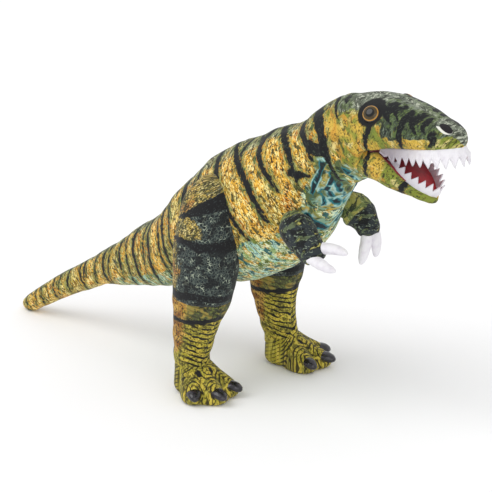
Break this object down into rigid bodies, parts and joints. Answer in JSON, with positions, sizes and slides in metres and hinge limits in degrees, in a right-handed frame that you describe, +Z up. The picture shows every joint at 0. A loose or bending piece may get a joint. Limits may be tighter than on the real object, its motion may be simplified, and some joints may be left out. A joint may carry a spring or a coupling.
{
  "type": "stuffed dinosaur",
  "caption": "Standing stuffed tyrannosaur in printed plush with an open felt-toothed mouth, stuffed limbs, safety eyes and bean-weighted feet.",
  "frame": {"origin": "on the floor under the middle of the toy's box, midway between tail tip and nose and between the feet", "axes": "+X towards the nose, +Y towards the toy's left side, +Z up"},
  "size_m": [0.6064, 0.2124, 0.3474],
  "materials": {
    "gold_plush": "printed short-pile plush, orange gold with dark stripes",
    "belly_plush": "printed short-pile plush, mint and cream",
    "thigh_plush": "printed short-pile plush, dark pebble print",
    "scale_plush": "printed short-pile plush, olive with dark chevrons",
    "sole_cloth": "flat woven sole cloth",
    "mouth_satin": "crimson satin lining",
    "white_felt": "white felt",
    "claw_vinyl": "glossy black padded vinyl",
    "stuffing": "loose polyester stuffing",
    "beans": "plastic pellets in a bag",
    "eye_acrylic": "glossy amber acrylic with a black pupil",
    "washer_plastic": "plain moulded plastic"
  },
  "bodies": {
    "torso": {"flank_skin_right": "gold_plush", "flank_skin_left": "gold_plush", "belly_panel": "belly_plush", "trunk_stuffing": "stuffing"},
    "head": {"head_skin_right": "gold_plush", "head_skin_left": "gold_plush", "head_stuffing": "stuffing", "palate_lining": "mouth_satin", "eye_right": "eye_acrylic", "eye_left": "eye_acrylic", "eye_washer_right": "washer_plastic", "eye_washer_left": "washer_plastic", "upper_teeth": "white_felt"},
    "jaw": {"jaw_skin": "gold_plush", "jaw_stuffing": "stuffing", "mouth_floor_lining": "mouth_satin", "lower_teeth": "white_felt"},
    "tail": {"tail_skin_right": "gold_plush", "tail_skin_left": "gold_plush", "tail_stuffing": "stuffing"},
    "tail_tip": {"tail_tip_skin": "gold_plush", "tail_tip_stuffing": "stuffing"},
    "leg_right": {"thigh_skin_right": "thigh_plush", "shin_skin_right": "scale_plush", "leg_stuffing_right": "stuffing", "foot_skin_right": "scale_plush", "foot_beans_right": "beans", "sole_right": "sole_cloth", "claw_inner_right": "claw_vinyl", "claw_middle_right": "claw_vinyl", "claw_outer_right": "claw_vinyl"},
    "arm_right": {"arm_skin_right": "thigh_plush", "arm_stuffing_right": "stuffing", "arm_claw_inner_right": "white_felt", "arm_claw_outer_right": "white_felt"},
    "leg_left": {"thigh_skin_left": "thigh_plush", "shin_skin_left": "scale_plush", "leg_stuffing_left": "stuffing", "foot_skin_left": "scale_plush", "foot_beans_left": "beans", "sole_left": "sole_cloth", "claw_inner_left": "claw_vinyl", "claw_middle_left": "claw_vinyl", "claw_outer_left": "claw_vinyl"},
    "arm_left": {"arm_skin_left": "thigh_plush", "arm_stuffing_left": "stuffing", "arm_claw_inner_left": "white_felt", "arm_claw_outer_left": "white_felt"}
  },
  "joints": [
    {"name": "neck_nod", "type": "hinge", "parent": "torso", "child": "head", "pos_m": [0.13611, 0, 0.271], "axis": [0, 1, 0], "range_deg": [-12, 12], "stiffness_Nm_per_rad": 6},
    {"name": "jaw_open", "type": "hinge", "parent": "head", "child": "jaw", "pos_m": [0.20211, 0, 0.283], "axis": [0, 1, 0], "range_deg": [-10, 10], "stiffness_Nm_per_rad": 0.6},
    {"name": "tail_wag", "type": "hinge", "parent": "torso", "child": "tail", "pos_m": [-0.11089, 0, 0.105], "axis": [0, 0, 1], "range_deg": [-15, 15], "stiffness_Nm_per_rad": 1.5},
    {"name": "tail_tip_wag", "type": "hinge", "parent": "tail", "child": "tail_tip", "pos_m": [-0.21089, 0, 0.058], "axis": [0, 0, 1], "range_deg": [-20, 20], "stiffness_Nm_per_rad": 0.5},
    {"name": "hip_right", "type": "hinge", "parent": "torso", "child": "leg_right", "pos_m": [0.02811, -0.04, 0.186], "axis": [0, 1, 0], "range_deg": [-12, 12], "stiffness_Nm_per_rad": 15},
    {"name": "shoulder_right", "type": "hinge", "parent": "torso", "child": "arm_right", "pos_m": [0.13711, -0.045, 0.204], "axis": [0, 1, 0], "range_deg": [-30, 30], "stiffness_Nm_per_rad": 0.3},
    {"name": "hip_left", "type": "hinge", "parent": "torso", "child": "leg_left", "pos_m": [0.02811, 0.04, 0.186], "axis": [0, 1, 0], "range_deg": [-12, 12], "stiffness_Nm_per_rad": 15},
    {"name": "shoulder_left", "type": "hinge", "parent": "torso", "child": "arm_left", "pos_m": [0.13711, 0.045, 0.204], "axis": [0, 1, 0], "range_deg": [-30, 30], "stiffness_Nm_per_rad": 0.3}
  ]
}
